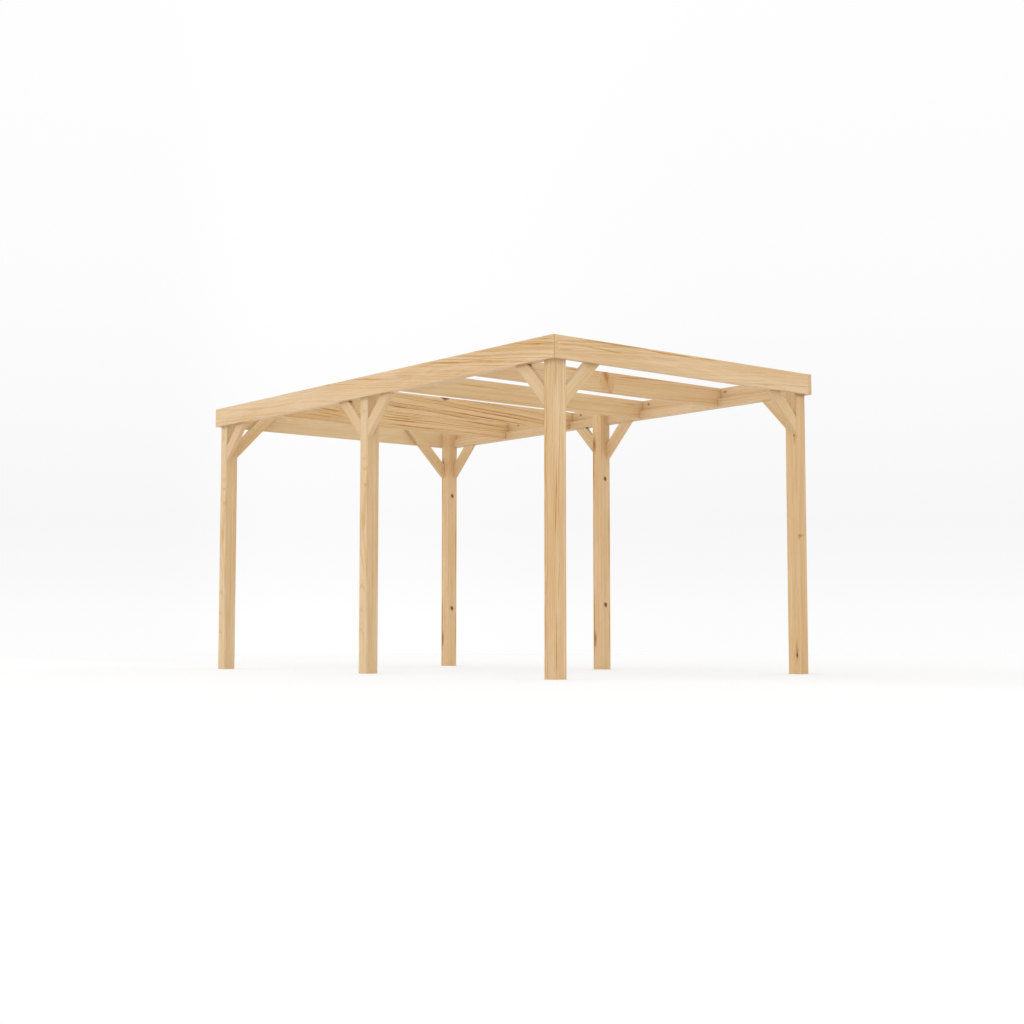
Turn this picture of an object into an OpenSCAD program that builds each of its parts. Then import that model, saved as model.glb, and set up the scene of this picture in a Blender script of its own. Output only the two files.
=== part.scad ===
// Box pergola: six posts carry a ring of boards on edge, joists lie between the side boards on
// ledgers, and a knee brace stiffens every post in each direction in which it carries a board.
// Millimetres, +Z up. The origin is on the ground, at the middle of the plan. X runs along the
// short ends, from left to right, and Y along the long sides, from front to back.

/* [Frame] */
// Length of the frame, over the end boards
frame_length = 5250; // [4000:10:6600]
// Width of the frame, over the side boards
frame_width = 3000; // [2400:10:4000]
// Clear height, from the ground to the underside of the frame
clear_height = 2445; // [2000:5:3000]

/* [Boards] */
// Thickness of the ring boards
board_t = 43; // [28:1:60]
// Height of the ring boards, and of the joists that lie flush with them
board_h = 180; // [145:5:245]

/* [Posts] */
// Side of the square posts
post_size = 120; // [90:5:160]

/* [Ledgers] */
// Thickness of the ledgers under the ends of the joists
ledger_t = 43; // [28:1:70]
// Height of the ledgers
ledger_h = 80; // [60:5:120]

/* [Joists] */
// Thickness of the joists
joist_t = 43; // [28:1:75]
// Play at each end of a joist, so that it drops in between the side boards
joist_play = 1; // [0:0.5:4]

/* [Braces] */
// Thickness of the knee braces
brace_t = 43; // [28:1:60]
// Width of the knee braces, square to their length
brace_w = 108; // [70:1:145]
// Distance from a post's face to the brace's lower edge, along the underside of the frame
brace_reach = 350; // [250:10:500]
// Drop from the underside of the frame to the brace's lower edge, down the post's face
brace_drop = 350; // [250:10:500]

/* [Planing] */
// Radius of the eased arrises that run along each timber
arris_r = 3; // [1:0.5:6]

/* [Hidden] */
joist_count = 4;
joist_pitch = (frame_length - joist_t) / (joist_count + 1);
frame_top = clear_height + board_h;
// Near and far face of the middle posts, and far face of the corner posts, from the frame's end
mid_post_near = (frame_length - post_size) / 2;
mid_post_far = mid_post_near + post_size;
corner_post_far = board_t + post_size;
ledger_length = mid_post_near - corner_post_far;
brace_angle = atan2(brace_drop, brace_reach);
arris_fn = 32;
post_colour = [0.85, 0.71, 0.52];
board_colour = [0.88, 0.75, 0.57];
ledger_colour = [0.83, 0.69, 0.50];
joist_colour = [0.86, 0.70, 0.49];
brace_colour = [0.87, 0.73, 0.54];

// Places what is drawn for the front left quarter of the plan, from the frame's outer corner,
// in that quarter or in its mirror image to the right, to the back or both
module quarter(right = false, back = false) {
    mirror([right ? 1 : 0, 0, 0])
        mirror([0, back ? 1 : 0, 0])
            translate([-frame_width / 2, -frame_length / 2, 0])
                children();
}

// Section of a planed timber: a rectangle with its four corners eased
module planed_section(a, b) {
    translate([arris_r, 0]) square([a - 2 * arris_r, b]);
    translate([0, arris_r]) square([a, b - 2 * arris_r]);
    for (x = [arris_r, a - arris_r], y = [arris_r, b - arris_r])
        translate([x, y]) circle(r = arris_r, $fn = arris_fn);
}

// Timber of section a by b that stands up from the origin
module upright(a, b, length) {
    linear_extrude(length) planed_section(a, b);
}

// Timber that runs along X, a wide in Y and b high
module along_x(length, a, b) {
    rotate([90, 0, 90]) linear_extrude(length) planed_section(a, b);
}

// Timber that runs along Y, a wide in X and b high
module along_y(length, a, b) {
    translate([0, length, 0]) rotate([90, 0, 0]) linear_extrude(length) planed_section(a, b);
}

// Post inside the ring, up to its top, with its near face at the given distance from the end
module post(near_face, right = false, back = false) {
    color(post_colour)
        quarter(right, back)
            translate([board_t, near_face, 0]) upright(post_size, post_size, frame_top);
}

// Side board over the outer faces of three posts and over the ends of the end boards
module side_board(right = false) {
    color(board_colour)
        quarter(right)
            translate([0, 0, clear_height]) along_y(frame_length, board_t, board_h);
}

// End board between the side boards, over the outer faces of two corner posts
module end_board(back = false) {
    color(board_colour)
        quarter(false, back)
            translate([board_t, 0, clear_height]) along_x(frame_width - 2 * board_t, board_t, board_h);
}

// Ledger on the inner face of a side board, from a corner post to the middle post
module ledger(right = false, back = false) {
    color(ledger_colour)
        quarter(right, back)
            translate([board_t, corner_post_far, clear_height]) along_y(ledger_length, ledger_t, ledger_h);
}

// Notch that lets a joist's end down over a ledger
module joist_notch() {
    translate([0, -joist_t, -ledger_h]) cube([ledger_t + joist_play, 3 * joist_t, 2 * ledger_h]);
}

// Joist flush with the ring, notched over the ledger at both ends, counted from the front
module joist(number) {
    color(joist_colour)
        translate([0, number * joist_pitch - frame_length / 2, clear_height])
            difference() {
                translate([board_t + joist_play - frame_width / 2, 0, 0])
                    along_x(frame_width - 2 * (board_t + joist_play), joist_t, board_h);
                for (right = [0, 1])
                    mirror([right, 0, 0]) translate([board_t - frame_width / 2, 0, 0]) joist_notch();
            }
}

// Knee brace that rises along X from a post's face at the origin, at the level of the frame's
// underside. It is cut plumb against the post and level at the given height over the underside.
module knee_brace(top) {
    run = brace_reach * (brace_drop + top) / brace_drop;
    rise = brace_drop + top;
    intersection() {
        translate([0, 0, -brace_drop])
            rotate([0, -brace_angle, 0])
                translate([-brace_w, 0, 0]) along_x(norm([run, rise]) + 2 * brace_w, brace_t, brace_w);
        translate([0, -brace_t, -brace_drop]) cube([run, 3 * brace_t, rise]);
    }
}

// Brace from a corner post along the side board, cut level under the ledger
module side_brace(right = false, back = false) {
    color(brace_colour)
        quarter(right, back)
            translate([board_t, corner_post_far, clear_height])
                mirror([1, -1, 0]) knee_brace(0);
}

// Brace from a corner post up the inner face of the end board, flush with the frame's top
module end_brace(right = false, back = false) {
    color(brace_colour)
        quarter(right, back)
            translate([corner_post_far, board_t, clear_height]) knee_brace(board_h);
}

// Brace from a middle post towards the end of the frame, cut level under the ledger
module mid_brace(right = false, back = false) {
    color(brace_colour)
        quarter(right, back)
            translate([board_t, mid_post_near, clear_height])
                rotate([0, 0, -90]) knee_brace(0);
}

post(board_t);  // post_front_left
post(mid_post_near);  // post_mid_left
post(board_t, back = true);  // post_back_left
post(board_t, right = true);  // post_front_right
post(mid_post_near, right = true);  // post_mid_right
post(board_t, right = true, back = true);  // post_back_right
side_board();  // side_board_left
side_board(right = true);  // side_board_right
end_board();  // end_board_front
end_board(back = true);  // end_board_back
ledger();  // ledger_front_left
ledger(back = true);  // ledger_back_left
ledger(right = true);  // ledger_front_right
ledger(right = true, back = true);  // ledger_back_right
joist(1);  // joist_1
joist(2);  // joist_2
joist(3);  // joist_3
joist(4);  // joist_4
side_brace();  // side_brace_front_left
side_brace(right = true);  // side_brace_front_right
side_brace(back = true);  // side_brace_back_left
side_brace(right = true, back = true);  // side_brace_back_right
end_brace();  // end_brace_front_left
end_brace(right = true);  // end_brace_front_right
end_brace(back = true);  // end_brace_back_left
end_brace(right = true, back = true);  // end_brace_back_right
mid_brace();  // mid_brace_front_left
mid_brace(right = true);  // mid_brace_front_right
mid_brace(back = true);  // mid_brace_back_left
mid_brace(right = true, back = true);  // mid_brace_back_right
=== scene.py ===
import math

import bpy
import numpy as np
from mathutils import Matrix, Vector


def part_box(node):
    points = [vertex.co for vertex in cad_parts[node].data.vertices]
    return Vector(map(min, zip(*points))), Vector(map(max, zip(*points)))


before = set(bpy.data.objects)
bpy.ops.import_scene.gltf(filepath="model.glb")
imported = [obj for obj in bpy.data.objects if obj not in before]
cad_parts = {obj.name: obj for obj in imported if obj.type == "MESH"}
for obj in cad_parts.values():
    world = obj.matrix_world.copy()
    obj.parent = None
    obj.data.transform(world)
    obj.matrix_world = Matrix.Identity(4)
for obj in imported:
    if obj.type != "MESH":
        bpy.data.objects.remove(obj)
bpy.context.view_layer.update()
print("stage: frame loaded,", len(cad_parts), "timbers")


# Small helpers for node trees

def linear(red, green, blue):
    # a screen colour of 0 to 255 as the linear colour that a shader takes
    screen = np.array([red, green, blue]) / 255.0
    value = np.where(screen <= 0.04045, screen / 12.92, ((screen + 0.055) / 1.055) ** 2.4)
    return (*value.tolist(), 1.0)


def emptyTree(owner):
    # the node tree of a material or a world, cleared
    owner.use_nodes = True
    owner.node_tree.nodes.clear()
    return owner.node_tree


def put(tree, kind, **settings):
    node = tree.nodes.new(kind)
    for name, value in settings.items():
        setattr(node, name, value)
    return node


def feed(tree, socket, value):
    if isinstance(value, bpy.types.NodeSocket):
        tree.links.new(value, socket)
    else:
        socket.default_value = value


def calc(tree, operation, *values, clamp=False):
    node = put(tree, "ShaderNodeMath", operation=operation, use_clamp=clamp)
    for socket, value in zip(node.inputs, values):
        feed(tree, socket, value)
    return node.outputs[0]


def total(tree, values, operation="ADD"):
    # the sum, or the highest, of any number of sockets
    result = values[0] if values else 0.0
    for value in values[1:]:
        result = calc(tree, operation, result, value)
    return result


def calcVector(tree, operation, *values, result="Vector"):
    node = put(tree, "ShaderNodeVectorMath", operation=operation)
    for socket, value in zip(node.inputs, values):
        feed(tree, socket, value)
    return node.outputs[result]


def stretched(tree, vector, factor):
    # a vector times a number
    node = put(tree, "ShaderNodeVectorMath", operation="SCALE")
    feed(tree, node.inputs[0], vector)
    feed(tree, node.inputs["Scale"], factor)
    return node.outputs[0]


def split(tree, vector):
    node = put(tree, "ShaderNodeSeparateXYZ")
    feed(tree, node.inputs[0], vector)
    return node.outputs


def join(tree, *values):
    node = put(tree, "ShaderNodeCombineXYZ")
    for socket, value in zip(node.inputs, values):
        feed(tree, socket, value)
    return node.outputs[0]


def ramp(tree, value, low, high, toLow=0.0, toHigh=1.0):
    # smooth step from toLow to toHigh while the value goes from low to high
    node = put(tree, "ShaderNodeMapRange", interpolation_type="SMOOTHSTEP")
    for socket, given in zip(node.inputs, (value, low, high, toLow, toHigh)):
        feed(tree, socket, given)
    return node.outputs[0]


def blend(tree, factor, first, second, kind="MIX"):
    # inputs 6 and 7 and output 2 are the colours of the mix node
    node = put(tree, "ShaderNodeMix", data_type="RGBA", blend_type=kind, clamp_factor=True)
    feed(tree, node.inputs[0], factor)
    feed(tree, node.inputs[6], first)
    feed(tree, node.inputs[7], second)
    return node.outputs[2]


def grey(tree, value):
    node = put(tree, "ShaderNodeCombineColor")
    for socket in node.inputs:
        feed(tree, socket, value)
    return node.outputs[0]


def noise(tree, vector, waves, detail=2.0, roughness=0.5, result="Fac"):
    # soft noise with its own number of waves a metre in each direction
    node = put(tree, "ShaderNodeTexNoise", noise_dimensions="3D")
    feed(tree, node.inputs["Vector"], calcVector(tree, "MULTIPLY", vector, waves))
    node.inputs["Scale"].default_value = 1.0
    node.inputs["Detail"].default_value = detail
    node.inputs["Roughness"].default_value = roughness
    return node.outputs[result]


def strayNoise(tree, vector, waves, detail=2.0, roughness=0.5):
    # noise in each direction, round nought
    colour = noise(tree, vector, waves, detail, roughness, "Color")
    return calcVector(tree, "SUBTRACT", colour, (0.5, 0.5, 0.5))


def newGroup(name, inputs, outputs):
    # a shader node group; inputs are (name, kind, default) and outputs (name, kind)
    tree = bpy.data.node_groups.new(name, "ShaderNodeTree")
    for socketName, kind, default in inputs:
        socket = tree.interface.new_socket(
            socketName, in_out="INPUT", socket_type="NodeSocket" + kind)
        if default is not None:
            socket.default_value = default
    for socketName, kind in outputs:
        tree.interface.new_socket(socketName, in_out="OUTPUT", socket_type="NodeSocket" + kind)
    return tree, put(tree, "NodeGroupInput").outputs, put(tree, "NodeGroupOutput").inputs


def useGroup(tree, group, **values):
    node = put(tree, "ShaderNodeGroup", node_tree=group)
    for name, value in values.items():
        feed(tree, node.inputs[name], value)
    return node.outputs


# Wood, as the log that each timber was sawn from. Timber coordinates are metres from the
# timber's middle: x runs along the grain, y and z across it. Waves of noise are counted for
# each metre along the grain, and then across it, in y and z.
acrossGrain = (0.0, 1.0, 1.0)
logShape = dict(
    seedStep=(3.17, 1.73, 2.39),     # how far one step of the seed moves through the noise
    strayWaves=(1.1, 5.0, 5.0),      # slow straying of the rings from straight
    stray=4.0,                       # brings that noise to about 1 either way
    uneven=2.2, unevenWaves=0.31,    # change in the rings' width: in rings, and in waves a ring
    ripple=0.5, rippleWaves=(7.0, 45.0, 45.0),    # small waves of each ring, in rings
    lateFrom=0.3, lateFull=0.88,     # parts of the year at which late wood starts and is darkest
    lateEnd=0.93,                    # part of the year from which it closes sharply
    faint=0.15, strong=1.15,         # how much the faintest and the strongest ring show
    faintShare=0.3,                  # share of the rings that are the faintest
    lotStep=19.0,                    # keeps the rings' strengths of two seeds apart
    fineWaves=(12.0, 700.0, 700.0), coarseWaves=(4.0, 160.0, 160.0), fibre=(0.32, 0.68),
    toneWaves=(0.9, 11.0, 11.0), tone=(0.3, 0.7))


def makeLogGrain():
    # The rings are shells round the pith, so that every face shows the figure of its own cut:
    # flames where it is flat sawn, lines where it is rift sawn and arcs on the end grain.
    # Ring number = (distance from the pith + wander + push of the knots) / ring width,
    # where the pith lies at Pith + Lean * x + Bend * x * x.
    tree, given, made = newGroup("logGrain", (
        ("Vector", "Vector", None),
        ("Pith", "Vector", None),
        ("Lean", "Vector", None),
        ("Bend", "Vector", None),
        ("Ring", "Float", 0.008),       # mean width of a ring
        ("Wander", "Float", 0.012),     # how far the rings stray from straight
        ("Push", "Float", 0.0),
        ("Seed", "Float", 0.0)),
        (("Rings", "Float"), ("Fibre", "Float"), ("Tone", "Float")))
    seedOffset = stretched(tree, logShape["seedStep"], given["Seed"])
    offset = calcVector(tree, "ADD", given["Vector"], seedOffset)

    along = split(tree, given["Vector"])[0]
    pith = calcVector(tree, "ADD", given["Pith"], stretched(tree, given["Lean"], along))
    bent = stretched(tree, given["Bend"], calc(tree, "MULTIPLY", along, along))
    pith = calcVector(tree, "ADD", pith, bent)
    slow = strayNoise(tree, offset, logShape["strayWaves"], 2.0, 0.45)
    stray = stretched(tree, slow, calc(tree, "MULTIPLY", given["Wander"], logShape["stray"]))
    fromPith = calcVector(tree, "SUBTRACT", given["Vector"], pith)
    fromPith = calcVector(tree, "ADD", fromPith, stray)
    fromPith = calcVector(tree, "MULTIPLY", fromPith, acrossGrain)
    radius = calcVector(tree, "LENGTH", fromPith, result="Value")
    radius = calc(tree, "ADD", radius, given["Push"])

    # rings of uneven width, with small waves
    count = calc(tree, "DIVIDE", radius, given["Ring"])
    years = join(tree, calc(tree, "MULTIPLY", count, logShape["unevenWaves"]), given["Seed"])
    uneven = noise(tree, years, (1.0, 1.0, 1.0), 1.0)
    count = calc(tree, "MULTIPLY_ADD", uneven, logShape["uneven"], count)
    ripple = noise(tree, offset, logShape["rippleWaves"])
    count = calc(tree, "MULTIPLY_ADD", ripple, logShape["ripple"], count)

    # dark late wood closes each ring: it comes on slowly and ends sharply
    inYear = calc(tree, "FRACT", count)
    late = calc(tree, "MULTIPLY", ramp(tree, inYear, logShape["lateFrom"], logShape["lateFull"]),
                ramp(tree, inYear, 1.0, logShape["lateEnd"]))
    lot = put(tree, "ShaderNodeTexWhiteNoise", noise_dimensions="1D")
    feed(tree, lot.inputs["W"], calc(tree, "MULTIPLY_ADD", given["Seed"], logShape["lotStep"],
                                     calc(tree, "FLOOR", count)))
    weight = ramp(tree, lot.outputs["Value"], logShape["faintShare"], 1.0,
                  logShape["faint"], logShape["strong"])
    feed(tree, made["Rings"], calc(tree, "MULTIPLY", late, weight))

    # short streaks of the fibres, and slow changes of tone
    fine = noise(tree, offset, logShape["fineWaves"], 3.0, 0.6)
    coarse = noise(tree, offset, logShape["coarseWaves"])
    fibre = calc(tree, "MULTIPLY", calc(tree, "ADD", fine, coarse), 0.5)
    feed(tree, made["Fibre"], ramp(tree, fibre, *logShape["fibre"]))
    tone = noise(tree, offset, logShape["toneWaves"])
    feed(tree, made["Tone"], ramp(tree, tone, *logShape["tone"]))
    return tree


# Where the parts of a knot lie, in radii: each pair runs from nothing to full
knotShape = dict(
    core=(1.1, 0.75), soften=(0.5, -0.7),         # the core, and what Soft adds to its pair
    rimInside=(0.7, 0.95), rimOutside=(1.3, 1.05),
    haloFull=0.7,
    swell=(4.0, 0.3),                             # the rings that bend out round it
    ragged=0.7, raggedWaves=(35.0, 70.0, 70.0),   # unevenness of its outline
    branchFull=0.6)                               # full part of the branch's depth


def makeKnot():
    # A knot is a branch that runs out from the pith: a tube round a line through its centre.
    # Reach = distance from that line / radius, with the distance along the grain over Streak.
    tree, given, made = newGroup("knot", (
        ("Vector", "Vector", None),
        ("Centre", "Vector", None),
        ("Branch", "Vector", None),     # unit vector along the branch
        ("Radius", "Float", 0.015),
        ("Streak", "Float", 1.0),
        ("Depth", "Float", 0.03),       # how far the branch runs, either way from its centre
        ("Soft", "Float", 0.0),         # 0 for a sound knot with an edge, 1 for a soft flame
        ("Halo", "Float", 2.4),         # how far the stained wood reaches, in radii
        ("Swell", "Float", 1.2)),       # how far the rings bend out round the knot, in radii
        (("Core", "Float"), ("Rim", "Float"), ("Halo", "Float"), ("Push", "Float")))
    away = calcVector(tree, "SUBTRACT", given["Vector"], given["Centre"])
    out = calcVector(tree, "DOT_PRODUCT", away, given["Branch"], result="Value")
    inside = ramp(tree, calc(tree, "ABSOLUTE", out), given["Depth"],
                  calc(tree, "MULTIPLY", given["Depth"], knotShape["branchFull"]))
    away = calcVector(tree, "SUBTRACT", away, stretched(tree, given["Branch"], out))
    x, y, z = split(tree, away)
    drawn = join(tree, calc(tree, "DIVIDE", x, given["Streak"]), y, z)
    reach = calcVector(tree, "LENGTH", drawn, result="Value")
    reach = calc(tree, "DIVIDE", reach, given["Radius"])
    ragged = noise(tree, given["Vector"], knotShape["raggedWaves"])
    ragged = calc(tree, "MULTIPLY_ADD", ragged, knotShape["ragged"], -knotShape["ragged"] / 2)
    reach = calc(tree, "ADD", reach, ragged)

    core = ramp(tree, reach, *(calc(tree, "MULTIPLY_ADD", given["Soft"], added, edge)
                               for added, edge in zip(knotShape["soften"], knotShape["core"])))
    rim = calc(tree, "MULTIPLY", ramp(tree, reach, *knotShape["rimInside"]),
               ramp(tree, reach, *knotShape["rimOutside"]))
    rim = calc(tree, "MULTIPLY", rim, calc(tree, "SUBTRACT", 1.0, given["Soft"], clamp=True))
    halo = ramp(tree, reach, given["Halo"], knotShape["haloFull"])
    swell = calc(tree, "MULTIPLY", ramp(tree, reach, *knotShape["swell"]), given["Radius"])
    swell = calc(tree, "MULTIPLY", swell, calc(tree, "MULTIPLY", given["Swell"], -1.0))
    for part, value in (("Core", core), ("Rim", rim), ("Halo", halo), ("Push", swell)):
        feed(tree, made[part], calc(tree, "MULTIPLY", value, inside))
    return tree


streakShape = dict(
    edge=(1.1, 0.25),                           # where it begins and is full, in half sizes
    wander=0.012, wanderWaves=(1.7, 6.0, 6.0),  # how far streaks wander from straight
    frayWaves=(9.0, 90.0, 90.0))                # the ragged edge


def makeStreak():
    # A soft patch drawn out along the grain, for a dark line, a pitch streak or stained wood.
    # Mask = smooth fall of the distance from its middle in half sizes, plus a ragged edge.
    # Across the grain the patch moves by Rise for each metre along it, and in z by Tilt for
    # each metre in y. Along the grain it moves by Bow times the square of the distance across,
    # which makes the arcs of a flame.
    tree, given, made = newGroup("streak", (
        ("Vector", "Vector", None),
        ("Ragged", "Float", 0.0),
        ("Centre", "Vector", None),
        ("Size", "Vector", None),
        ("Rise", "Vector", None),
        ("Tilt", "Float", 0.0),
        ("Bow", "Float", 0.0)),
        (("Mask", "Float"),))
    away = calcVector(tree, "SUBTRACT", given["Vector"], given["Centre"])
    along, back, up = split(tree, away)
    away = calcVector(tree, "SUBTRACT", away, stretched(tree, given["Rise"], along))
    tilted = calc(tree, "MULTIPLY", given["Tilt"], back)
    away = calcVector(tree, "SUBTRACT", away, stretched(tree, (0.0, 0.0, 1.0), tilted))
    aside = calcVector(tree, "MULTIPLY", away, acrossGrain)
    square = calcVector(tree, "DOT_PRODUCT", aside, aside, result="Value")
    bowed = calc(tree, "MULTIPLY", square, given["Bow"])
    away = calcVector(tree, "SUBTRACT", away, stretched(tree, (1.0, 0.0, 0.0), bowed))
    away = calcVector(tree, "DIVIDE", away, given["Size"])
    reach = calcVector(tree, "LENGTH", away, result="Value")
    reach = calc(tree, "ADD", reach, given["Ragged"])
    feed(tree, made["Mask"], ramp(tree, reach, *streakShape["edge"]))
    return tree


planed = dict(
    fibreTone=(1.05, 0.92),             # tone between the fibres and on them
    rimTone=0.5,
    endTone=-0.03, endLines=-0.5,       # what end grain adds to the tone and to the rings
    rough=0.5, ringRough=-0.08, endRough=0.25, knotRough=-0.1,
    ringRelief=0.6, fibreRelief=-0.4, knotRelief=0.4,
    bumpStrength=0.35, bumpHeight=0.0006, specular=0.35)


def makeSoftwood():
    # The colours of planed softwood: pale early wood, orange late wood, stained wood and knots.
    # Shade lays painted shade over them, and painted light where it is below nought.
    tree, given, made = newGroup("planedSoftwood", (
        ("Rings", "Float", 0.0),
        ("Fibre", "Float", 0.5),
        ("Tone", "Float", 0.5),
        ("Lines", "Float", 0.6),        # how strongly the late wood shows
        ("Stain", "Float", 0.0),
        ("Core", "Float", 0.0),
        ("Rim", "Float", 0.0),
        ("End", "Float", 0.0),          # 1 on end grain
        # Shade: painted shade, and painted light where it is below nought
        ("Shade", "Float", 0.0),        # how much darker the wood is
        ("Pale", "Color", None),
        ("Warm", "Color", None),
        ("Late", "Color", None),
        ("Knot", "Color", None),
        ("Bark", "Color", None)),
        (("Color", "Color"), ("Roughness", "Float"), ("Height", "Float")))
    rings, fibre, end, core = (given[name] for name in ("Rings", "Fibre", "End", "Core"))
    ringed = calc(tree, "MULTIPLY", given["Lines"],
                  calc(tree, "MULTIPLY_ADD", end, planed["endLines"], 1.0))
    ringed = calc(tree, "MULTIPLY", rings, ringed, clamp=True)
    wood = blend(tree, given["Tone"], given["Pale"], given["Warm"])
    wood = blend(tree, ringed, wood, given["Late"])
    wood = blend(tree, given["Stain"], wood, given["Late"])
    fibred = ramp(tree, fibre, 0.0, 1.0, *planed["fibreTone"])
    wood = blend(tree, 1.0, wood, grey(tree, fibred), "MULTIPLY")
    wood = blend(tree, core, wood, given["Knot"])
    rimmed = calc(tree, "MULTIPLY", given["Rim"], planed["rimTone"])
    wood = blend(tree, rimmed, wood, given["Bark"])
    # painted shade: the wood drawn darker by Shade, or lighter where Shade is below nought
    shaded = calc(tree, "SUBTRACT", 1.0, given["Shade"])
    wood = blend(tree, 1.0, wood, grey(tree, shaded), "MULTIPLY")
    ended = calc(tree, "MULTIPLY_ADD", end, planed["endTone"], 1.0)
    feed(tree, made["Color"], blend(tree, 1.0, wood, grey(tree, ended), "MULTIPLY"))

    rough = calc(tree, "MULTIPLY_ADD", rings, planed["ringRough"], planed["rough"])
    rough = calc(tree, "MULTIPLY_ADD", end, planed["endRough"], rough)
    rough = calc(tree, "MULTIPLY_ADD", core, planed["knotRough"], rough, clamp=True)
    feed(tree, made["Roughness"], rough)
    relief = calc(tree, "MULTIPLY", rings, planed["ringRelief"])
    relief = calc(tree, "MULTIPLY_ADD", fibre, planed["fibreRelief"], relief)
    feed(tree, made["Height"], calc(tree, "MULTIPLY_ADD", core, planed["knotRelief"], relief))
    return tree


logGrain = makeLogGrain()
knotGroup = makeKnot()
streakGroup = makeStreak()
softwood = makeSoftwood()
print("stage: wood groups made")

# What a timber has if its own dictionary says nothing else. The colours are screen colours.
# pith is where the log's middle lies, in y and z. lean and bend are its slope and curve along
# the timber. tilt is the slope of the streaks in the thickness, and y of the face they are set
# on. lie is the heading and the rise of the grain, in degrees.
plainWood = dict(
    pale=(222, 190, 147), warm=(215, 179, 132), late=(186, 131, 50), tint=(1.0, 1.0, 1.0),
    knot=(119, 61, 14), bark=(98, 48, 22), halo=0.4,
    ring=0.0085, wander=0.012, lean=(0.0, 0.0), bend=(0.0, 0.0),
    tilt=(0.0, 0.0), knots=(), streaks=(), shades=())
softKnot = dict(stain=0.2, core=0.88)   # how much less of each a soft knot has
endGrainEdge = (0.5, 0.65)              # cosine of the angle between a face and the grain


def grainDirection(heading, elevation):
    heading, elevation = math.radians(heading), math.radians(elevation)
    return (math.cos(heading) * math.cos(elevation), math.sin(heading) * math.cos(elevation),
            math.sin(elevation))


def dressTimber(name, look):
    # one timber's own material: its place on the log, its knots, its streaks and its painted shades
    low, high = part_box(name)
    heading, elevation = look["lie"]
    material = bpy.data.materials.new("wood_" + name)
    tree = emptyTree(material)
    place = put(tree, "ShaderNodeTexCoord")
    local = put(tree, "ShaderNodeMapping", vector_type="TEXTURE")
    feed(tree, local.inputs["Vector"], place.outputs["Object"])
    local.inputs["Location"].default_value = (low + high) / 2
    local.inputs["Rotation"].default_value = (0.0, -math.radians(elevation), math.radians(heading))
    vector = local.outputs[0]

    knots, stains, cores = [], [], []
    for at, branch, radius, more in look["knots"]:
        length = math.hypot(*branch)
        knot = useGroup(tree, knotGroup, Vector=vector, Centre=at, Radius=radius,
                        Branch=[value / length for value in branch], **more)
        soft = more.get("Soft", 0.0)
        knots.append(knot)
        stains.append(calc(tree, "MULTIPLY", knot["Halo"], look["halo"]))
        stains.append(calc(tree, "MULTIPLY", knot["Core"], 1.0 - softKnot["stain"] * soft))
        cores.append(calc(tree, "MULTIPLY", knot["Core"], 1.0 - softKnot["core"] * soft))

    # streaks wander a little and fray together
    stray = strayNoise(tree, vector, streakShape["wanderWaves"])
    bent = calcVector(tree, "ADD", vector, stretched(tree, stray, streakShape["wander"]))
    frayed = calc(tree, "SUBTRACT", noise(tree, vector, streakShape["frayWaves"], 3.0), 0.5)
    tilt, face = look["tilt"]
    lines = look["lines"]
    for (x, y, z), size, rise, bow, more, stain in look["streaks"]:
        mask = useGroup(tree, streakGroup, Vector=bent, Ragged=frayed, Size=size, Bow=bow,
                        Centre=(x, y, z - tilt * face), Rise=(0.0, *rise), Tilt=tilt)["Mask"]
        if more:
            lines = calc(tree, "MULTIPLY_ADD", mask, more, lines)
        if stain:
            stains.append(calc(tree, "MULTIPLY", mask, stain))
    # painted shades: each darkens the wood in its mask; below nought it is painted light
    shades = []
    for at, size, rise, shade in look["shades"]:
        mask = useGroup(tree, streakGroup, Vector=vector, Centre=at, Size=size,
                        Rise=(0.0, 0.0, rise))["Mask"]
        shades.append(calc(tree, "MULTIPLY", mask, shade))

    grain = useGroup(tree, logGrain, Vector=vector, Seed=look["seed"], Ring=look["ring"],
                     Wander=look["wander"], Pith=(0.0, *look["pith"]), Lean=(0.0, *look["lean"]),
                     Bend=(0.0, *look["bend"]), Push=total(tree, [knot["Push"] for knot in knots]))
    facing = calcVector(tree, "DOT_PRODUCT", place.outputs["Normal"],
                        grainDirection(heading, elevation), result="Value")
    pale, warm, late = (
        linear(*(min(255, value * part) for value, part in zip(look[key], look["tint"])))
        for key in ("pale", "warm", "late"))
    wood = useGroup(tree, softwood, Rings=grain["Rings"], Fibre=grain["Fibre"],
                    Tone=grain["Tone"], Lines=lines, Stain=total(tree, stains, "MAXIMUM"),
                    End=ramp(tree, calc(tree, "ABSOLUTE", facing), *endGrainEdge),
                    Core=total(tree, cores, "MAXIMUM"),
                    Rim=total(tree, [knot["Rim"] for knot in knots], "MAXIMUM"),
                    Shade=total(tree, shades), Pale=pale, Warm=warm, Late=late,
                    Knot=linear(*look["knot"]), Bark=linear(*look["bark"]))
    bump = put(tree, "ShaderNodeBump")
    bump.inputs["Strength"].default_value = planed["bumpStrength"]
    bump.inputs["Distance"].default_value = planed["bumpHeight"]
    feed(tree, bump.inputs["Height"], wood["Height"])
    surface = put(tree, "ShaderNodeBsdfPrincipled")
    feed(tree, surface.inputs["Base Color"], wood["Color"])
    feed(tree, surface.inputs["Roughness"], wood["Roughness"])
    feed(tree, surface.inputs["Normal"], bump.outputs[0])
    surface.inputs["Specular IOR Level"].default_value = planed["specular"]
    feed(tree, put(tree, "ShaderNodeOutputMaterial").inputs["Surface"], surface.outputs[0])
    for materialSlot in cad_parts[name].material_slots:
        materialSlot.material = material
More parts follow.
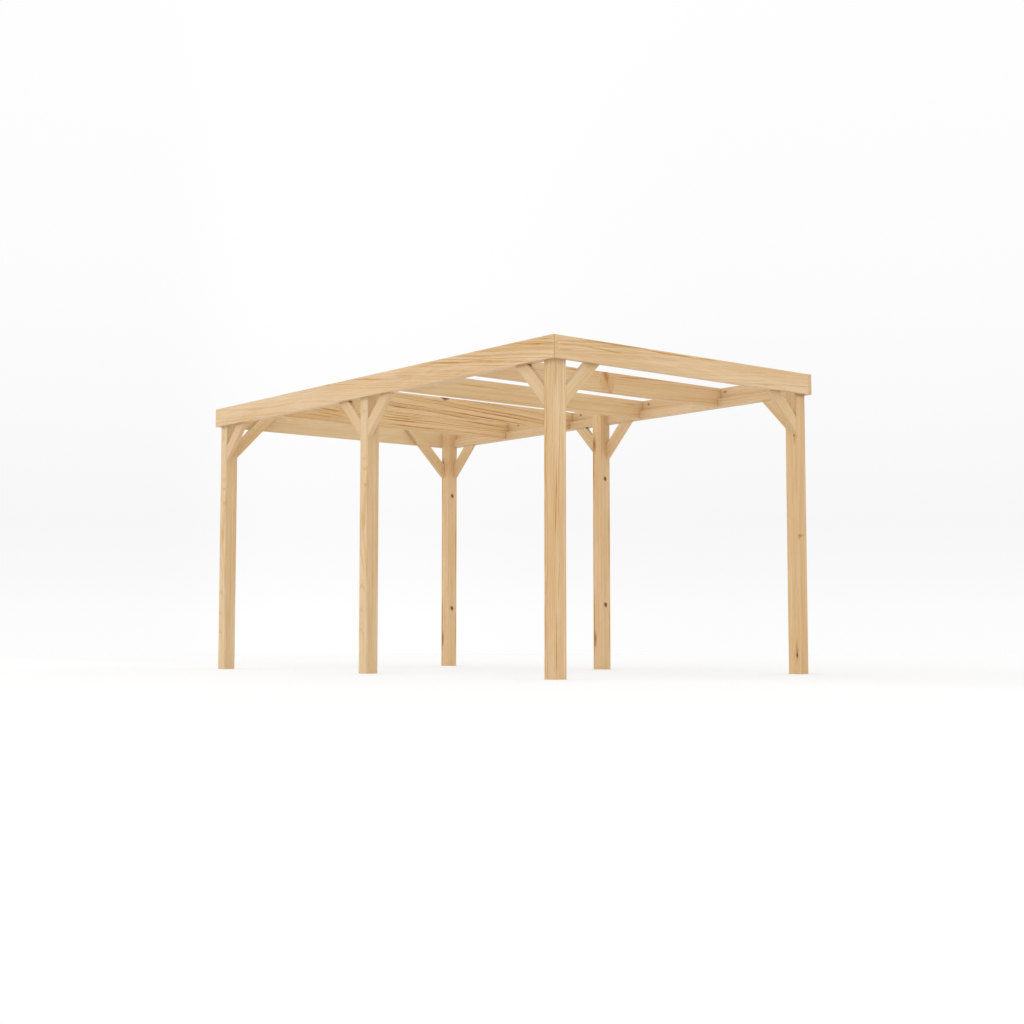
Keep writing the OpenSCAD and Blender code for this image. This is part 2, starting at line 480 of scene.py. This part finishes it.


# A streak is (middle, half sizes, rises in y and z along the grain, bow, what it adds to the
# strength of the rings, stain). A shade is painted shade, or painted light where it is below
# nought: (middle, half sizes, rise in z, how much darker).
# A knot is (middle, branch, radius, more of its group's inputs).
boardLow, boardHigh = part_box("side_board_left")
postLow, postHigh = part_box("post_front_left")
boardHalf, boardEnd, boardEdge = (boardHigh - boardLow) / 2     # half thickness, length, height
postHalf = (postHigh - postLow).x / 2
ringEdge = boardLow.z - (postLow + postHigh).z / 2      # the ring's lower edge over a post's middle
through, fullLength = 0.2, 3.0          # half sizes that reach through and along any timber
streakDeep, shadeDeep = 0.02, 0.01      # half depths of a streak and a shade on one face


def figures(*rows):
    # dark lines that go right through a board, a row each: x and z of the middle, half the
    # length and the depth, rise along the grain and stain
    return [((x, 0.0, z), (half, through, deep), (0.0, rise), 0.0, 0.0, stain)
            for x, z, half, deep, rise, stain in rows]


def zone(x, z, half, deep, more, stain):
    # a part of a board whose rings show more, with its wood a little stained
    return (x, 0.0, z), (half, through, deep), (0.0, 0.0), 0.0, more, stain


def frontEnd(y, skin, half, stain):
    # darker, more orange wood on a side board's front end, over its whole height; on the left
    # board it is painted shade, a dark line along the near corner
    return (-boardEnd, y, 0.0), (skin, half, 0.3), (0.0, 0.0), 0.0, 0.0, stain


def paintedUndersideShadeOrLight(shade):
    # painted shade on a board's underside, and painted light where shade is below nought
    return (0.0, 0.0, -boardEdge), (fullLength, through, shadeDeep), 0.0, shade


def onFront(x, z, half, deep, rise, stain, skin=streakDeep):
    # a streak on a post's front face
    return (x, -postHalf, z), (half, skin, deep), (0.0, rise), 0.0, 0.0, stain


def onLeft(x, y, half, deep, rise, stain, bow=0.0, more=0.0):
    # a streak on a post's left face
    return (x, y, postHalf), (half, deep, streakDeep), (rise, 0.0), bow, more, stain


def paintedFrontShade(shade):
    # painted shade: the whole of a post's front face drawn darker
    return (0.0, -postHalf, 0.0), (fullLength, 0.025, through), 0.0, shade


def paintedRingShadowLeft(size, shade):
    # painted contact shadow on a post's left face, just under the ring
    return (ringEdge, 0.0, postHalf), (size, through, shadeDeep), 0.0, shade


def paintedRingShadowFront(size, shade):
    # painted contact shadow on a post's front face, just under the ring
    return (ringEdge, -postHalf, 0.0), (size, shadeDeep, through), 0.0, shade


# Posts stand with the grain upright: y runs to the back and z to the left, so the left face is
# at z = postHalf and the front face at y = -postHalf. x is the height over the post's middle.
postWood = plainWood | dict(lie=(0, 90), lines=0.5)
# painted shade: the upper part of a post drawn a little darker, towards the ring
paintedUpperShade = (1.15, 0.0, 0.0), (0.45, 1.0, 1.0), 0.0, 0.045
flamePost = dict(
    seed=2.1, pith=(0.02, -0.39), bend=(0.0, 0.03), wander=0.004, lines=0.4,
    tint=(1.007, 1.035, 1.07),
    shades=[paintedFrontShade(0.065), paintedRingShadowLeft(0.035, 0.16), paintedUpperShade],
    streaks=[
        # painted shade: the whole front face stained a little darker, with the painted front shade
        onFront(0.0, 0.0, fullLength, through, 0.0, 0.07),
        onFront(-0.35, 0.0, 0.9, 0.009, 0.0, 0.3),
        onFront(0.15, -0.034, 0.9, 0.008, 0.0, 0.3),
        onFront(-0.85, 0.032, 0.5, 0.008, 0.0, 0.3),
        onLeft(-0.93, 0.03, 0.026, 0.06, 0.0, 0.32, bow=-18),
        onLeft(-0.75, 0.03, 0.024, 0.06, 0.0, 0.26, bow=-18),
        onLeft(-0.54, 0.02, 0.026, 0.055, 0.0, 0.32, bow=-22),
        onLeft(-0.31, 0.012, 0.18, 0.014, 0.25, 0.4),
        onLeft(0.05, 0.052, 0.40, 0.008, 0.02, 0.4),
        onLeft(0.045, 0.0, 0.09, 0.035, 0.0, 0.35),
        onLeft(0.35, -0.03, 0.024, 0.07, 0.0, 0.36, bow=9),
        onLeft(0.492, -0.02, 0.022, 0.07, 0.0, 0.34, bow=9),
        onLeft(0.586, -0.01, 0.020, 0.06, 0.0, 0.26, bow=9),
        onLeft(1.018, 0.01, 0.022, 0.06, 0.0, 0.22, bow=-8)])
knottyPost = dict(
    seed=4.2, pith=(0.17, -0.15), lean=(0.004, 0.004), ring=0.006, lines=0.6,
    tint=(0.992, 0.999, 1.006),
    shades=[paintedFrontShade(0.035)],
    knots=[
        ((-0.6735, -postHalf, 0.003), (0.85, -1.0, 0.3), 0.0165, dict(Halo=1.8)),
        ((0.5815, -postHalf, 0.003), (0.85, -1.0, 0.3), 0.0160, dict(Halo=1.8)),
        ((-1.015, 0.034, postHalf), (0.1, 0.1, 1.0), 0.017, dict(Streak=4.0, Soft=0.58, Halo=2.2)),
        ((0.925, 0.036, postHalf), (0.1, 0.1, 1.0), 0.020, dict(Streak=3.0, Soft=0.6, Halo=2.2))],
    streaks=[
        onLeft(-0.87, 0.044, 0.60, 0.015, 0.0, 0.88),
        onLeft(0.68, 0.044, 0.48, 0.015, 0.0, 0.85),
        onLeft(0.75, -0.042, 0.7, 0.035, 0.0, 0.0, more=-0.35),
        onLeft(-1.20, -0.042, 0.4, 0.035, 0.0, 0.0, more=-0.45),
        onLeft(-0.1, 0.046, 0.7, 0.012, 0.0, 0.55),
        onLeft(-0.2, -0.02, 1.2, 0.010, 0.02, 0.15),
        onFront(0.1, -0.048, 0.5, 0.009, 0.0, 0.8),
        onFront(-0.9, -0.046, 0.3, 0.009, 0.0, 0.5)])
posts = {
    "post_front_left": dict(
        seed=1.3, pith=(0.11, -0.19), lean=(0.004, 0.006), ring=0.0075, lines=0.6,
        tint=(1.007, 1.025, 1.055),
        shades=[paintedRingShadowLeft(0.04, 0.12), paintedRingShadowFront(0.04, 0.12), paintedUpperShade],
        streaks=[
            onFront(-1.10, 0.041, 0.30, 0.008, 0.0, 1.0),
            onFront(-1.09, 0.0126, 0.28, 0.006, 0.0, 0.4),
            onFront(0.04, 0.0423, 0.42, 0.008, -0.025, 1.0),
            onFront(0.122, 0.017, 0.45, 0.006, -0.02, 0.8),
            onFront(-0.56, 0.015, 0.20, 0.006, -0.05, 0.6),
            onFront(1.03, 0.041, 0.2, 0.007, 0.0, 0.8),
            onLeft(0.0, 0.0, 2.0, through, 0.0, 0.27),
            onLeft(-0.73, 0.045, 0.55, 0.024, 0.0, 0.38),
            onLeft(0.30, 0.04, 0.35, 0.024, 0.0, 0.38)]),
    "post_mid_left": flamePost,
    "post_back_left": flamePost,
    "post_front_right": dict(
        seed=3.4, pith=(-0.16, 0.14), lean=(0.01, -0.006), ring=0.006, tint=(0.988, 0.995, 0.999),
        shades=[paintedFrontShade(0.01), paintedRingShadowFront(0.03, 0.27), paintedUpperShade],
        knots=[
            ((-1.15, -0.0375, postHalf), (0.2, 0.1, 1.0), 0.0095, dict(Streak=2.2, Halo=3.0)),
            ((-1.115, -0.0375, postHalf), (0.2, 0.1, 1.0), 0.0055, dict(Streak=15.0, Soft=0.5)),
            ((0.765, -0.037, postHalf), (0.2, 0.1, 1.0), 0.0065, dict(Streak=2.0, Soft=0.2))],
        streaks=[
            onLeft(-1.11, -0.0375, 0.14, 0.010, 0.0, 1.0),
            onLeft(0.73, -0.037, 0.07, 0.009, 0.0, 0.8),
            # the whole front face a little darker and more orange
            onFront(0.0, 0.0, fullLength, through, 0.0, 0.14),
            onFront(-0.111, 0.020, 0.020, 0.042, 0.0, 1.0, skin=0.012),
            onFront(-0.128, 0.035, 0.024, 0.014, 0.0, 0.7, skin=0.012),
            onFront(-0.106, -0.018, 0.014, 0.016, 0.0, 0.7, skin=0.012),
            onFront(-0.0605, -0.043, 0.012, 0.010, 0.0, 0.6, skin=0.012)]),
    "post_mid_right": knottyPost,
    "post_back_right": knottyPost,
}
for name, cut in posts.items():
    dressTimber(name, postWood | cut)

# Side boards and ledgers run from front to back: x is to the back, y to the left and z up.
sideWood = plainWood | dict(lie=(90, 0), lines=0.6)
sideBoards = {
    "side_board_left": dict(
        seed=5.7, pith=(-0.10, -0.16), lean=(0.0, 0.095), bend=(0.0, -0.010), ring=0.0103,
        wander=0.010, lines=0.4, tint=(1.005, 1.021, 1.056), tilt=(1.5, boardHalf),
        # painted light: the underside drawn a little lighter
        shades=[paintedUndersideShadeOrLight(-0.06)],
        # frontEnd on this board paints a dark line of shade along the near corner
        streaks=[zone(-2.20, 0.03, 1.9, 0.15, 0.80, 0.13), frontEnd(0.012, 0.008, 0.008, 0.62)]
        + figures(
            (-2.45, 0.037, 0.20, 0.0056, 0.12, 1.0), (-2.508, 0.069, 0.14, 0.0056, 0.12, 0.78),
            (-1.808, -0.011, 0.32, 0.0063, 0.12, 0.98), (-1.283, 0.047, 0.36, 0.0063, 0.135, 1.0),
            (-1.248, -0.0155, 0.38, 0.0056, 0.118, 0.72), (-1.69, 0.042, 0.32, 0.0056, 0.125, 0.65),
            (-2.228, -0.073, 0.16, 0.007, 0.09, 0.52), (-2.473, 0.0065, 0.18, 0.0056, 0.12, 0.52),
            (-1.90, -0.06, 0.22, 0.0056, 0.12, 0.45), (-0.99, 0.064, 0.16, 0.0126, 0.12, 0.45),
            (-0.6825, 0.0155, 0.21, 0.0056, 0.14, 0.72), (-0.175, 0.044, 0.35, 0.0063, 0.128, 0.78),
            (-0.06, 0.062, 0.26, 0.0063, 0.11, 0.78), (0.268, 0.0565, 0.28, 0.0056, 0.13, 0.59),
            (0.537, 0.0835, 0.07, 0.0084, 0.1, 0.78), (2.158, -0.064, 0.55, 0.0098, 0.045, 0.45),
            (-0.467, -0.088, 0.42, 0.0042, 0.0, 0.65))),
    "side_board_right": dict(
        seed=6.9, pith=(0.06, -0.17), lean=(0.0, 0.03), bend=(0.0, 0.012), ring=0.011,
        wander=0.018, lines=0.35, tint=(0.970, 0.981, 0.998),
        knots=[
            ((x, boardHalf, 0.051), (0.1, 1.0, 0.0), 0.0095, dict(Streak=1.3, Soft=0.45, Halo=2.4))
            for x in (-1.636, -0.620, 0.372, 1.377)],
        streaks=[frontEnd(0.0, 0.012, 0.07, 0.14)]),
}
ledgerTint = (0.97, 0.98, 0.997)
ledgers = {
    "ledger_front_left": dict(tint=ledgerTint, seed=7.1, pith=(0.05, -0.12), lean=(0.002, 0.008)),
    "ledger_back_left": dict(tint=ledgerTint, seed=8.6, pith=(-0.08, 0.10), lean=(0.004, -0.006)),
    "ledger_front_right": dict(
        tint=(0.98, 1.001, 1.04), seed=9.2, pith=(-0.04, -0.13), lean=(0.0, 0.010)),
    "ledger_back_right": dict(tint=ledgerTint, seed=10.5, pith=(0.06, 0.11), lean=(0.003, -0.009)),
}
for name, cut in (sideBoards | ledgers).items():
    dressTimber(name, sideWood | cut)

# End boards and joists run from left to right: x is to the right, y to the back and z up.
crossWood = plainWood | dict(lie=(0, 0), lines=0.55)
endBoards = {
    "end_board_front": dict(
        seed=11.8, pith=(0.05, -0.18), lean=(0.0, 0.08), ring=0.0065, wander=0.008, lines=0.42,
        tint=(0.993, 1.008, 1.035), tilt=(1.5, -boardHalf),
        # painted shade: the underside drawn a little darker
        shades=[paintedUndersideShadeOrLight(0.05)],
        streaks=[zone(-1.05, 0.05, 0.9, 0.12, 0.78, 0.03)] + figures(
            (-0.85, 0.081, 0.50, 0.0084, -0.008, 0.85), (-1.37, 0.0237, 0.09, 0.0056, 0.097, 0.75),
            (-1.03, 0.028, 0.30, 0.006, -0.033, 0.8), (-0.86, 0.0205, 0.12, 0.0063, -0.02, 0.88),
            (-1.37, -0.0195, 0.09, 0.0084, 0.05, 0.55), (-0.22, 0.073, 0.46, 0.0084, -0.008, 0.95),
            (0.16, 0.080, 0.19, 0.0063, 0.042, 0.72), (0.76, 0.032, 0.26, 0.0056, 0.09, 0.38),
            (0.90, -0.058, 0.17, 0.0056, 0.06, 0.32), (1.35, -0.03, 0.14, 0.0056, 0.06, 0.25))),
    "end_board_back": dict(
        seed=12.4, pith=(-0.16, 0.09), lean=(0.0, 0.05), ring=0.007, lines=0.25,
        tint=(0.965, 0.979, 0.988)),
}
joists = {
    "joist_1": dict(
        seed=13.9, pith=(0.07, -0.15), lean=(0.0, 0.02), ring=0.007, knot=(156, 80, 38),
        halo=0.25, late=(188, 122, 42), tint=(0.965, 0.967, 0.96),
        knots=[((-0.006, -boardHalf, 0.094), (0.28, 0.0, -0.96), 0.027,
                dict(Depth=0.105, Soft=0.85, Halo=2.4))],
        streaks=figures(
            (0.018, -0.03, 0.090, 0.11, 0.0, 0.28), (0.020, 0.010, 0.026, 0.060, 0.0, 0.62),
            (0.036, -0.040, 0.024, 0.045, 0.0, 0.40), (0.052, -0.080, 0.040, 0.028, 0.0, 0.60),
            (0.084, 0.05, 0.012, 0.050, 0.0, 0.36), (0.088, -0.03, 0.009, 0.055, 0.0, 0.48),
            (-0.058, 0.000, 0.010, 0.045, 0.0, 0.34), (-0.036, -0.050, 0.012, 0.035, 0.0, 0.30),
            (0.29, 0.067, 0.22, 0.0084, 0.03, 0.8), (0.6, 0.082, 0.3, 0.007, 0.01, 0.55),
            (-0.36, 0.07, 0.12, 0.0084, 0.0, 0.7))),
    "joist_2": dict(
        seed=15.2, pith=(0.10, -0.16), lean=(0.0, 0.02), ring=0.008, lines=0.4,
        tint=(0.961, 0.966, 0.954),
        streaks=figures(
            (-0.641, 0.033, 0.32, 0.007, 0.0, 0.59), (-0.175, 0.046, 0.14, 0.0056, 0.06, 0.45),
            (1.29, 0.04, 0.12, 0.014, 0.0, 0.39), (-0.5, -0.02, 0.6, 0.05, 0.0, 0.1))),
    "joist_3": dict(
        seed=16.6, pith=(0.01, -0.19), lean=(0.0, -0.052), ring=0.0125, wander=0.010, lines=0.95,
        late=(170, 113, 40), knot=(98, 38, 4), tint=(0.990, 0.991, 0.968), tilt=(0.5, -boardHalf),
        knots=[((-0.183, -boardHalf, 0.132), (0.0, -1.0, 0.0), 0.059, dict(Halo=1.15, Swell=0.1)),
               ((1.418, -boardHalf, -0.043), (0.0, -1.0, 0.0), 0.007, dict())],
        streaks=figures(
            (-0.7, -0.0504, 0.2, 0.0063, -0.01, 0.98), (-0.563, -0.0194, 0.22, 0.0056, -0.01, 0.52),
            (0.291, -0.0594, 0.64, 0.0077, -0.054, 1.0), (0.447, -0.0234, 0.66, 0.007, -0.058, 1.0),
            (0.486, 0.0036, 0.64, 0.0063, -0.058, 0.72), (-0.26, 0.046, 0.27, 0.0056, -0.03, 0.39),
            (-0.1, -0.075, 0.28, 0.0056, -0.05, 0.52), (0.75, -0.005, 0.4, 0.0056, -0.055, 0.52))),
    "joist_4": dict(
        seed=17.3, pith=(-0.01, -0.13), lean=(0.0, -0.02), ring=0.0125, wander=0.016, lines=0.9,
        late=(174, 115, 34), tint=(0.998, 1.01, 0.999), tilt=(0.5, -boardHalf),
        streaks=figures(
            (-0.797, 0.0252, 0.17, 0.007, -0.073, 1.0), (-0.72, 0.055, 0.10, 0.0056, -0.07, 0.52),
            (-0.816, -0.0126, 0.22, 0.007, -0.06, 0.72), (-0.91, -0.04, 0.27, 0.0056, -0.06, 0.52),
            (0.078, -0.0054, 0.30, 0.007, 0.01, 0.98), (0.117, 0.0252, 0.32, 0.0056, 0.02, 0.65),
            (0.15, 0.045, 0.37, 0.0063, 0.01, 0.78), (0.20, -0.054, 0.42, 0.007, -0.02, 0.98),
            (1.117, 0.0504, 0.34, 0.007, -0.055, 1.0), (0.93, 0.0234, 0.45, 0.0056, -0.04, 0.45),
            (1.05, -0.06, 0.36, 0.0056, -0.04, 0.59))),
}
for name, cut in (endBoards | joists).items():
    dressTimber(name, crossWood | cut)

# Braces rise at 45 degrees from their post: x is up along the brace and z square to it,
# upwards. Painted contact shadow darkens the wood where it closes up with the ring: at the top
# of a brace that is cut level, and at the end board's lower edge on one that runs up behind it.
paintedLevelTopShadow = [((0.1237, 0.0, 0.1237), (1.0, through, 0.028), -1.0, 0.17),
            # a deeper painted shadow at the top end of the upper edge
            ((0.139, 0.0, 0.108), (0.04, 0.1, 0.012), 0.0, 0.22)]
paintedBehindBoardShadow = [((0.06, 0.0, 0.06), (1.0, through, 0.017), -1.0, 0.08)]
braceWood = plainWood | dict(lines=0.32)
levelBrace, endBrace = braceWood | dict(shades=paintedLevelTopShadow), braceWood | dict(shades=paintedBehindBoardShadow)
toBack, toFront, toRight, toLeft = (dict(lie=(heading, 45)) for heading in (90, -90, 0, 180))
braces = {
    "side_brace_front_left": levelBrace | toBack | dict(
        tint=(0.97, 0.973, 0.985), seed=18.7, pith=(0.08, -0.10)),
    "side_brace_front_right": levelBrace | toBack | dict(
        tint=(0.98, 0.99, 1.0), seed=19.5, pith=(-0.09, -0.08)),
    "side_brace_back_left": levelBrace | toFront | dict(
        tint=(0.978, 0.975, 0.985), seed=20.1, pith=(0.06, 0.11)),
    "side_brace_back_right": levelBrace | toFront | dict(
        tint=(0.975, 0.985, 0.99), seed=21.6, pith=(-0.05, -0.12)),
    "end_brace_front_left": endBrace | toRight | dict(
        tint=(0.975, 0.99, 0.993), seed=22.8, pith=(0.09, -0.09)),
    "end_brace_front_right": endBrace | toLeft | dict(
        tint=(0.965, 0.975, 0.97), seed=23.3, pith=(0.05, -0.12)),
    "end_brace_back_left": endBrace | toRight | dict(
        tint=(0.97, 0.975, 0.955), seed=24.4, pith=(-0.07, 0.10)),
    "end_brace_back_right": endBrace | toLeft | dict(
        tint=(0.955, 0.96, 0.945), seed=25.9, pith=(0.08, 0.09)),
    "mid_brace_front_left": levelBrace | toFront | dict(
        tint=(0.98, 0.985, 0.995), seed=26.2, pith=(0.07, -0.11)),
    "mid_brace_front_right": levelBrace | toFront | dict(
        tint=(0.983, 0.99, 1.0), seed=27.7, pith=(-0.08, 0.09)),
    "mid_brace_back_left": levelBrace | toBack | dict(
        tint=(0.99, 0.992, 1.0), seed=28.1, pith=(-0.06, -0.12)),
    "mid_brace_back_right": levelBrace | toBack | dict(
        tint=(0.98, 1.01, 1.035), seed=29.6, pith=(0.10, 0.07)),
}
for name, look in braces.items():
    dressTimber(name, look)
dressed = posts | sideBoards | ledgers | endBoards | joists | braces
print("stage:", len(dressed), "timbers dressed")


# Floor: a wide disc whose radius and angle are the two parameters of its grid. Its own light
# falls off a little to the right, where the far floor is a shade greyer.
floor = dict(radius=15.5, rings=24, sides=96, colour=0.80,
             lift=0.074, fall=0.030, fallFrom=-1.4, fallTo=0.8)


def makeFloorMesh():
    # point of ring r and side s = its radius times the cosine and sine of its angle; the last
    # point is the middle
    rings, sides = floor["rings"], floor["sides"]
    turn, out = np.meshgrid(np.linspace(0, 2 * np.pi, sides, endpoint=False),
                            np.linspace(0, floor["radius"], rings + 1)[1:])
    points = np.stack([out * np.cos(turn), out * np.sin(turn), 0 * out], -1).reshape(-1, 3)
    points = np.vstack([points, [[0.0, 0.0, 0.0]]])
    ring, side = np.meshgrid(np.arange(rings - 1), np.arange(sides), indexing="ij")
    here, beside = ring * sides + side, ring * sides + (side + 1) % sides
    quads = np.stack([here, here + sides, beside + sides, beside], -1).reshape(-1, 4)
    first = np.arange(sides)
    middle = np.stack([np.full_like(first, len(points) - 1), first, (first + 1) % sides], -1)
    mesh = bpy.data.meshes.new("studio_floor")
    mesh.from_pydata(points.tolist(), [], quads.tolist() + middle.tolist())
    return mesh


def makeFloor():
    mesh = makeFloorMesh()
    piece = bpy.data.objects.new("studio_floor", mesh)
    bpy.context.collection.objects.link(piece)
    material = bpy.data.materials.new("studio_floor")
    tree = emptyTree(material)
    matt = put(tree, "ShaderNodeBsdfDiffuse")
    matt.inputs["Color"].default_value = (floor["colour"], floor["colour"], floor["colour"], 1.0)
    # a little of its own light, for the camera and in reflections alone, makes the open floor white
    seen = put(tree, "ShaderNodeLightPath").outputs
    shown = calc(tree, "MAXIMUM", seen["Is Camera Ray"], seen["Is Glossy Ray"])
    toRight = split(tree, put(tree, "ShaderNodeTexCoord").outputs["Object"])[0]
    lift = ramp(tree, toRight, floor["fallFrom"], floor["fallTo"],
                floor["lift"], floor["lift"] - floor["fall"])
    own = put(tree, "ShaderNodeEmission")
    feed(tree, own.inputs["Strength"], calc(tree, "MULTIPLY", shown, lift))
    both = put(tree, "ShaderNodeAddShader")
    tree.links.new(matt.outputs[0], both.inputs[0])
    tree.links.new(own.outputs[0], both.inputs[1])
    feed(tree, put(tree, "ShaderNodeOutputMaterial").inputs["Surface"], both.outputs[0])
    mesh.materials.append(material)


makeFloor()

# Light: a white dome, a little brighter to the left and dimmer to the right. The camera and
# reflections see a nearly white backdrop in its place, with a slight glow behind the left half
# of the pergola. Heights and turns are in degrees. A turn of 0 is straight back, along y, and
# turns grow to the right.
dome = dict(strength=1.17, left=0.10, front=-0.01)
backdrop = dict(
    span=40, horizon=0.25,          # heights over the whole colour ramp, and the horizon on it
    greys=((-2.0, 253), (0.8, 252), (2.2, 249), (4.0, 247),     # height, screen grey
           (7.0, 249), (12.0, 252), (21.0, 254), (30.0, 255)),
    glow=0.028, glowLeft=(26.5, 31.0), glowRight=(47.0, 33.0))    # each from none to full


def makeWorld():
    world = bpy.data.worlds.new("studio")
    bpy.context.scene.world = world
    tree = emptyTree(world)
    x, y, z = split(tree, put(tree, "ShaderNodeTexCoord").outputs["Generated"])
    light = calc(tree, "MULTIPLY_ADD", x, -dome["left"], dome["strength"])
    light = calc(tree, "MULTIPLY_ADD", y, -dome["front"], light)

    level = calc(tree, "MULTIPLY_ADD", calc(tree, "ARCSINE", z),
                 math.degrees(1) / backdrop["span"], backdrop["horizon"])
    shade = put(tree, "ShaderNodeValToRGB")
    feed(tree, shade.inputs[0], level)
    marks = shade.color_ramp.elements
    while len(marks) < len(backdrop["greys"]):
        marks.new(0.5)
    for mark, (height, screen) in zip(marks, backdrop["greys"]):
        mark.position = height / backdrop["span"] + backdrop["horizon"]
        mark.color = linear(screen, screen, screen)
    turn = calc(tree, "MULTIPLY", calc(tree, "ARCTAN2", x, y), math.degrees(1))
    glow = calc(tree, "MULTIPLY", ramp(tree, turn, *backdrop["glowLeft"]),
                ramp(tree, turn, *backdrop["glowRight"], 0.0, backdrop["glow"]))
    backdropColour = calcVector(tree, "ADD", shade.outputs[0], grey(tree, glow))

    seen = put(tree, "ShaderNodeLightPath").outputs
    shown = calc(tree, "MAXIMUM", seen["Is Camera Ray"], seen["Is Glossy Ray"])
    shown = calc(tree, "MAXIMUM", shown, seen["Is Transmission Ray"])
    sky = put(tree, "ShaderNodeBackground")
    feed(tree, sky.inputs["Color"], blend(tree, shown, grey(tree, light), backdropColour))
    feed(tree, put(tree, "ShaderNodeOutputWorld").inputs["Surface"], sky.outputs[0])


makeWorld()
bpy.context.scene.view_settings.view_transform = "Standard"
print("stage: floor and light made")


# Camera: low and close to the ground, looking along the left side and a little upwards
lens = dict(length=55.848, sensor=36.0, reach=200.0,
            place=(-9.3216, -11.6766, 0.3256), heading=0.68624, rise=0.07815)
cameraData = bpy.data.cameras.new("camera")
cameraData.lens = lens["length"]
cameraData.sensor_width = lens["sensor"]
cameraData.clip_end = lens["reach"]
camera = bpy.data.objects.new("camera", cameraData)
camera.location = lens["place"]
camera.rotation_euler = (math.pi / 2 + lens["rise"], 0.0, -lens["heading"])
bpy.context.collection.objects.link(camera)
bpy.context.scene.camera = camera
print("stage: camera placed")
